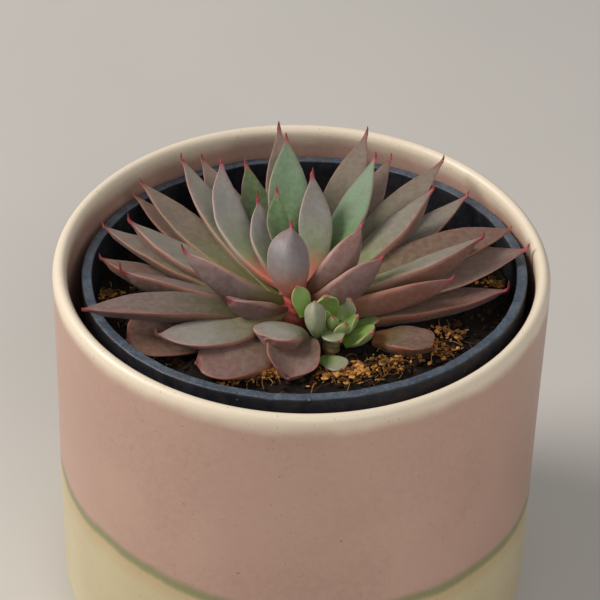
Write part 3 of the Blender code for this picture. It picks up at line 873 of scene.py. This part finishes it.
collar_in = NURSERY_RADIUS - COLLAR_WIDTH
foot_in = NURSERY_FOOT - NURSERY_WALL
under = -NURSERY_HEIGHT
floor_top = under + NURSERY_WALL
profile = line((0.0, floor_top), (foot_in, floor_top), 4)
profile += line((foot_in, floor_top), (collar_in, -COLLAR_HEIGHT), 14)
profile += line((collar_in, -COLLAR_HEIGHT), (collar_in, -INNER_EDGE), 8)
profile += arc((collar_in + INNER_EDGE, -INNER_EDGE), INNER_EDGE, INNER_EDGE, 180, 90, 3)
profile += line((collar_in + 2 * INNER_EDGE, 0.0), (NURSERY_RADIUS - OUTER_EDGE, 0.0), 3)
profile += arc((NURSERY_RADIUS - OUTER_EDGE, -OUTER_EDGE), OUTER_EDGE, OUTER_EDGE, 90, 0, 3)
profile += line((NURSERY_RADIUS, -2 * OUTER_EDGE), (NURSERY_RADIUS - 0.2, -COLLAR_HEIGHT), 6)
profile += line((NURSERY_RADIUS - 0.2, -COLLAR_HEIGHT), (collar_in + NURSERY_WALL, -COLLAR_HEIGHT), 2)
profile += line((collar_in + NURSERY_WALL, -COLLAR_HEIGHT - 0.1), (NURSERY_FOOT, under), 14)
profile += line((NURSERY_FOOT, under), (0.0, under), 4) + [(0.0, under)]


def sprung(angle, radius, z):
    """How far the thin wall is out of round, in millimetres."""
    if z < -COLLAR_HEIGHT - 1:
        return 0.0
    return 0.12 * math.sin(3 * angle + 1.0) + 0.05 * math.sin(11 * angle)


nursery = spin("nursery_pot_moulded", profile, 200, sprung)
rim_nicks = random.Random(5)
nicks = [(rim_nicks.uniform(0, 2 * math.pi), rim_nicks.uniform(0.02, 0.06),
          rim_nicks.uniform(0.06, 0.2)) for _ in range(RIM_NICKS)]
for vertex in nursery.data.vertices:
    radius = math.hypot(vertex.co.x, vertex.co.y) / MM
    if vertex.co.z / MM > -0.5 and radius > collar_in - 0.5:
        angle = math.atan2(vertex.co.y, vertex.co.x) % (2 * math.pi)
        for place, half, depth in nicks:
            off = abs(angle - place)
            if off < half:
                vertex.co.z -= depth * (1 - off / half) * MM
tipped(nursery)
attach(nursery, "root")
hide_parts("nursery_pot")
print("nursery pot:", len(nursery.data.polygons), "faces,", len(nicks), "nicks in its rim")

# %% [markdown]
# ### Blue-black plastic
# Recycled plastic is nearly black with a blue cast, and matt. What makes it read as
# plastic and not as a hole: painted light on the flat rim, a lighter blue-grey where the
# surface faces up, broken into flakes, then lime flecks from watering and a thin film of soil.

# %% Plastic finish
material, shader = new_material("blue_black_plastic", Specular_IOR_Level=0.45)
where = position_mm()
# Painted light: near the rim, where the surface faces up, it is painted a lighter blue-grey in flakes.
rim_up = put("ShaderNodeNewGeometry").outputs["Normal"]
flat = rise(put("ShaderNodeSeparateXYZ", {0: rim_up}).outputs["Z"], 0.55, 0.95)
height = put("ShaderNodeSeparateXYZ", {0: where}).outputs["Z"]
flat = times(flat, rise(height, 70.0, 74.0))
rubbed = cloud_mask(where, 3.0, 0.25)
flakes = cloud_mask(where, 0.5, 0.1)
lime = speck_mask(where, 1.6, 0.13, 0.3)
colour = blend(rubbed, rgb(28, 32, 40), rgb(38, 44, 54))
lit_rim_colour = blend(rubbed, rgb(70, 84, 100), rgb(98, 112, 128))
colour = blend(times(flat, rise(flakes, 0.0, 1.0, 0.55, 0.95)), colour, lit_rim_colour)
colour = stain(lime, 0.5, colour, rgb(150, 154, 158))
soiled = cloud_mask(where, 1.8, 0.08)
colour = stain(soiled, 0.15, colour, rgb(92, 74, 58))
join(colour, shader["Base Color"])
join(rise(flakes, 0.0, 1.0, 0.34, 0.52), shader["Roughness"])
relief = grain_height(where, 2.4, 0.4, 0.4)
add_relief(shader, relief, 0.5, 0.3 * MM)
nursery.data.materials.append(material)

# %% [markdown]
# ## The soil
# Potting soil is dark peat, broken into crumbs, with lighter fibres and bits of bark in
# it. A flat disc with a bumpy finish would look painted at this size, so the ground is a
# mesh with real lumps, and loose crumbs lie on top of it as small broken solids. It dips
# a little towards the wall, where watering has washed the fine stuff away.

# %% The ground under the leaves
SOIL_BELOW_RIM = 7.4
SOIL_RADIUS = collar_in - 0.25
SOIL_GAP = 0.3                        # between the soil and the pot's foot and floor
soil_draw = random.Random(11)


def soil_height(x, y):
    """Height of the soil below the rim, in the nursery pot's frame."""
    p = Vector((x, y, 0.0))
    lump = noise.noise(p * 0.11) * 1.0 + noise.noise(p * 0.42 + Vector((9, 3, 1))) * 0.55
    crumb = noise.noise(p * 1.5 + Vector((2, 7, 5))) * 0.35 + abs(noise.noise(p * 3.4)) * 0.25
    hollow = smooth(math.hypot(x, y), SOIL_RADIUS * 0.6, SOIL_RADIUS) * 0.5
    return -SOIL_BELOW_RIM + lump + crumb - hollow


def soil_mesh():
    rings, steps = 110, 220
    vertices = [(0.0, 0.0, soil_height(0, 0) * MM)]
    for ring in range(1, rings + 1):
        radius = SOIL_RADIUS * ring / rings
        for k in range(steps):
            angle = 2 * math.pi * k / steps
            x, y = radius * math.cos(angle), radius * math.sin(angle)
            vertices.append((x * MM, y * MM, soil_height(x, y) * MM))
    faces = []
    for k in range(steps):
        n = (k + 1) % steps
        faces.append((0, 1 + k, 1 + n))
        for ring in range(rings - 1):
            a = 1 + ring * steps
            faces.append((a + k, a + steps + k, a + steps + n, a + n))
    edge = 1 + (rings - 1) * steps
    for radius, z in ((SOIL_RADIUS, -COLLAR_HEIGHT - 1), (foot_in - SOIL_GAP, floor_top + SOIL_GAP)):
        first = len(vertices)
        for k in range(steps):
            angle = 2 * math.pi * k / steps
            vertices.append((radius * math.cos(angle) * MM, radius * math.sin(angle) * MM, z * MM))
        for k in range(steps):
            n = (k + 1) % steps
            faces.append((edge + k, first + k, first + n, edge + n))
        edge = first
    faces.append(tuple(reversed([edge + k for k in range(steps)])))
    return smooth_object("soil_ground", vertices, faces)


soil = tipped(soil_mesh())
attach(soil, "root")
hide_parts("soil")
print("soil:", len(soil.data.polygons), "faces")

# %% [markdown]
# ### Crumbs, bark and fibres
# Each loose bit is a small ball with its points pushed in and out. Crumbs are dark and
# everywhere; bark bits are larger, flatter, orange-brown, and lie in a few drifts at the
# front and right; fibres are thin bent strands. Every bit keeps its own shade as a value
# on its points, so one finish can colour hundreds of them differently.

# %% Scattering the loose bits
def lay_on_soil(name, bm):
    mesh = bpy.data.meshes.new(name)
    bm.to_mesh(mesh)
    bm.free()
    thing = tipped(add_object(name, mesh))
    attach(thing, "root")
    return thing


def loose_bits(name, places, detail, stretch, seed):
    """One mesh of many small broken solids; places holds (x, y, lift, size)."""
    draw = random.Random(seed)
    bm = bmesh.new()
    shade = bm.verts.layers.float.new("bit_shade")
    for x, y, lift, size in places:
        made = bmesh.ops.create_icosphere(bm, subdivisions=detail, radius=1.0)["verts"]
        flat = draw.uniform(*stretch)
        turn = Matrix.Rotation(draw.uniform(0, 6.28), 3, "Z")
        turn = turn @ Matrix.Rotation(draw.uniform(-0.6, 0.6), 3, "X")
        length = draw.uniform(0.9, 1.5)
        own, at = draw.random(), Vector((draw.uniform(0, 99), draw.uniform(0, 99), 0))
        for v in made:
            dent = 1 + 0.55 * noise.noise(v.co * 1.3 + at) + 0.25 * noise.noise(v.co * 3.1 + at)
            p = turn @ Vector((v.co.x * length, v.co.y, v.co.z * flat)) * dent * size
            v.co = Vector((x + p.x, y + p.y, soil_height(x, y) + lift + p.z)) * MM
            v[shade] = own
    return lay_on_soil(name, bm)


def within(radius, draw):
    """A place on the soil, evenly spread over a disc."""
    r, angle = radius * math.sqrt(draw.random()), draw.uniform(0, 2 * math.pi)
    return r * math.cos(angle), r * math.sin(angle)


CRUMBS = 1500
SCATTERED_BARK = 120
FIBRES = 170
crumb_places = []
for _ in range(CRUMBS):
    size = soil_draw.uniform(0.22, 0.6) if soil_draw.random() < 0.8 else soil_draw.uniform(0.6, 1.0)
    x, y = within(SOIL_RADIUS - size - 0.2, soil_draw)
    crumb_places.append((x, y, size * 0.35, size))
crumbs = loose_bits("peat_crumbs", crumb_places, 1, (0.6, 0.95), 3)

# Drifts of bark: middle x and y, spread, how many bits. All in millimetres.
BARK_DRIFTS = (
    (-6.3, -26.0, 1.7, 150), (9.2, -24.9, 2.5, 300), (16.4, -23.0, 1.9, 150), (25.8, -17.4, 1.7, 120),
    (27.9, -11.8, 1.5, 90), (-39.2, 2.0, 1.2, 70), (37.7, 6.2, 1.5, 60), (-13.2, -27.2, 1.2, 50),
    (5.5, -27.0, 1.3, 70), (20.6, -20.3, 1.8, 80), (-35.7, -2.8, 1.4, 50),
)
bark_places = []
for cx, cy, spread, count in BARK_DRIFTS:
    for _ in range(count):
        x, y = cx + soil_draw.gauss(0, spread), cy + soil_draw.gauss(0, spread * 0.6)
        size = 0.12 + 0.45 * soil_draw.random() ** 2
        if math.hypot(x, y) < SOIL_RADIUS - size - 0.2:
            bark_places.append((x, y, size * 0.6 + soil_draw.uniform(0, 0.9), size))
for _ in range(SCATTERED_BARK):
    x, y = within(SOIL_RADIUS - 1.0, soil_draw)
    bark_places.append((x, y, 0.2, soil_draw.uniform(0.15, 0.4)))
bark = loose_bits("bark_bits", bark_places, 1, (0.25, 0.7), 4)


FIBRE_STEPS = 6
FIBRE_SIDES = 5


def fibre_mesh(count, draw):
    """Thin bent strands lying on the soil."""
    bm = bmesh.new()
    shade = bm.verts.layers.float.new("bit_shade")
    for index in range(count):
        if index % 3:
            cx, cy, spread, _ = BARK_DRIFTS[draw.randrange(len(BARK_DRIFTS))]
            x, y = cx + draw.gauss(0, spread), cy + draw.gauss(0, spread)
        else:
            x, y = within(SOIL_RADIUS - 3, draw)
        way, length, lift = draw.uniform(0, 6.28), draw.uniform(1.2, 4.0), draw.uniform(0.2, 0.7)
        radius, own, bend = draw.uniform(0.05, 0.11), draw.random(), draw.uniform(-0.5, 0.5)
        path = []
        for step in range(FIBRE_STEPS + 1):
            px = x + math.cos(way) * length * step / FIBRE_STEPS
            py = y + math.sin(way) * length * step / FIBRE_STEPS
            way += bend * 0.3
            if math.hypot(px, py) > SOIL_RADIUS - 0.4:
                break
            pz = soil_height(px, py) + lift + 0.5 * math.sin(step / FIBRE_STEPS * math.pi)
            path.append(Vector((px, py, pz)))
        if len(path) < 3:
            continue
        rings = []
        for p in path:
            ring = []
            for k in range(FIBRE_SIDES):
                angle = 2 * math.pi * k / FIBRE_SIDES
                around = Vector((-math.sin(way) * math.cos(angle), math.cos(way) * math.cos(angle),
                                 math.sin(angle)))
                v = bm.verts.new((p + around * radius) * MM)
                v[shade] = own
                ring.append(v)
            rings.append(ring)
        for before, ring in zip(rings, rings[1:]):
            for k in range(FIBRE_SIDES):
                n = (k + 1) % FIBRE_SIDES
                bm.faces.new((before[k], ring[k], ring[n], before[n]))
        bm.faces.new(tuple(rings[0]))
        bm.faces.new(tuple(reversed(rings[-1])))
    bmesh.ops.recalc_face_normals(bm, faces=bm.faces)
    return lay_on_soil("soil_fibres", bm)


fibres = fibre_mesh(FIBRES, soil_draw)
print("crumbs:", len(crumb_places), "bark bits:", len(bark_places), "faces:",
      len(crumbs.data.polygons) + len(bark.data.polygons) + len(fibres.data.polygons))

# %% [markdown]
# ### Soil finishes
# Moist peat is almost black and dries to brown on its high spots, so its colour follows
# soft clouds; the ground's colours are darker still as painted shade under the leaves.
# Bark and fibres run from straw to orange-brown by their own shade.

# %% Peat, bark and fibre finishes
def soil_finish(name, dark, light, dry, by_bit):
    material, shader = new_material(name, Specular_IOR_Level=0.25)
    where = position_mm()
    damp = cloud_mask(where, 2.4, 0.2)
    share = attribute("bit_shade") if by_bit else damp
    colour = blend(share, dark, light)
    grit = speck_mask(where, 0.45, 0.22, 0.35)
    colour = stain(grit, 0.5, colour, dry)
    join(colour, shader["Base Color"])
    join(rise(damp, 0.0, 1.0, 0.72, 0.95), shader["Roughness"])
    relief = grain_height(where, 3.5, 1.2, 0.4)
    add_relief(shader, relief, 0.8, 0.5 * MM)
    return material


for piece, name, dark, light, dry, by_bit in (
        # The ground's peat colours are partly painted shade: darker than peat is, for the shade under the
        # leaves.
        (soil, "damp_peat_and_painted_shade", (17, 12, 9), (32, 23, 17), (70, 50, 34), False),
        (crumbs, "peat_crumb", (18, 12, 9), (66, 42, 24), (116, 80, 46), True),
        (bark, "bark_orange", (60, 34, 15), (222, 158, 84), (232, 190, 126), True),
        (fibres, "fibre_straw", (84, 52, 26), (176, 128, 72), (206, 168, 114), True)):
    piece.data.materials.append(soil_finish(name, rgb(*dark), rgb(*light), rgb(*dry), by_bit))

# %% [markdown]
# ## Stems
# Both rosettes sit on short stems that the leaf bases hide almost wholly. What shows
# between the bases is coral red. The stems are slightly knotted tapered columns, ringed
# with the scars of fallen leaves.

# %% Making the stems
def make_stem(name, node, radius_low, radius_high, low, high, foot):
    rings, steps = 26, 28
    vertices = []
    for ring in range(rings):
        share = ring / (rings - 1)
        z = low + (high - low) * share
        middle = Vector((foot[0], foot[1] + AXIS_LEAN * (z + FOOT_DEPTH), 0.0))
        for k in range(steps):
            angle = 2 * math.pi * k / steps
            scar = 0.10 * math.sin(share * 34 + 2 * angle) + 0.12 * math.sin(3 * angle + share * 9)
            radius = radius_low + (radius_high - radius_low) * share ** 1.6 + scar
            if share > 0.85:
                radius *= math.sqrt(max(0.02, 1 - ((share - 0.85) / 0.15) ** 2))
            vertices.append(((middle.x + radius * math.cos(angle)) * MM,
                             (middle.y + radius * math.sin(angle)) * MM, (z + POT_HEIGHT) * MM))
    thing = smooth_object(name, vertices, capped_tube(rings, steps))
    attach(thing, "root")
    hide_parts(node)
    return thing


stem = make_stem("rosette_stem_coral", "rosette_stem", 3.4, 2.6, -9.8, -1.5, ROSETTE_FOOT)
small_stem = make_stem("offset_stem_green", "offset_stem", 1.6, 1.0, -9.6, -4.0, OFFSET_FOOT)

# %% Stem finish
def stem_finish(name, young, old):
    material, shader = new_material(name, Subsurface_Weight=0.08, Subsurface_Scale=0.001)
    where = position_mm()
    height = put("ShaderNodeSeparateXYZ", {0: where}).outputs["Z"]
    patch = cloud_mask(where, 1.4, 0.2)
    colour = blend(rise(height, POT_HEIGHT - 9.5, POT_HEIGHT - 5.0), old, young)
    colour = stain(patch, 0.35, colour, old)
    join(colour, shader["Base Color"])
    join(rise(patch, 0.0, 1.0, 0.5, 0.7), shader["Roughness"])
    relief = grain_height(where, 3.0, 0.9)
    add_relief(shader, relief, 0.5, 0.3 * MM)
    return material


stem.data.materials.append(stem_finish("coral_stem", rgb(206, 96, 86), rgb(120, 66, 46)))
small_stem.data.materials.append(stem_finish("green_stem", rgb(126, 142, 74), rgb(110, 84, 50)))
print("stems made")
